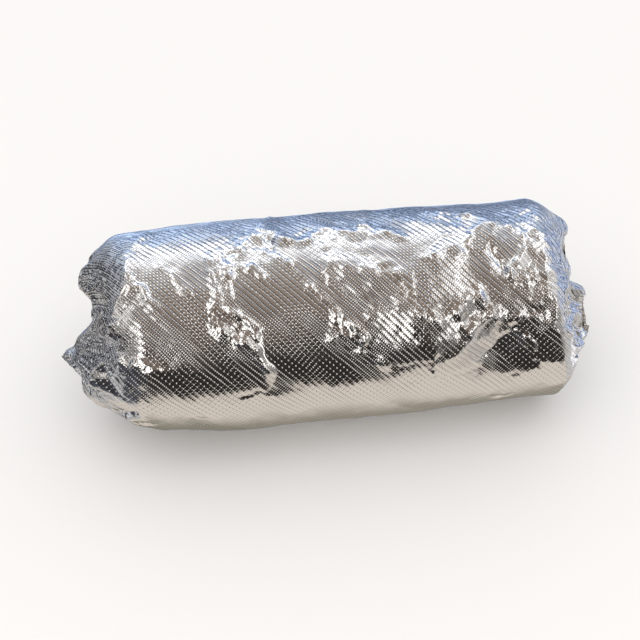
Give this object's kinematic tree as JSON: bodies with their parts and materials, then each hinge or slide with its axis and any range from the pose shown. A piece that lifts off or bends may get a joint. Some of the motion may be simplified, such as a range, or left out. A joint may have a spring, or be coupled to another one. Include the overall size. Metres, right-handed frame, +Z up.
{
  "type": "foil-wrapped burrito",
  "caption": "Burrito rolled in embossed aluminium foil: a barrel with crumpled, tucked ends, lying on its long side.",
  "frame": {"origin": "under the middle of the roll, on the surface that it lies on", "axes": "+X along the roll, from the pointed twist to the blunt tuck; -Y is the front; +Z up"},
  "size_m": [0.2006, 0.085, 0.0748],
  "materials": {
    "foil": "bright foil, finely embossed and crumpled"
  },
  "bodies": {
    "root": {"foil_burrito": "foil"}
  },
  "joints": []
}
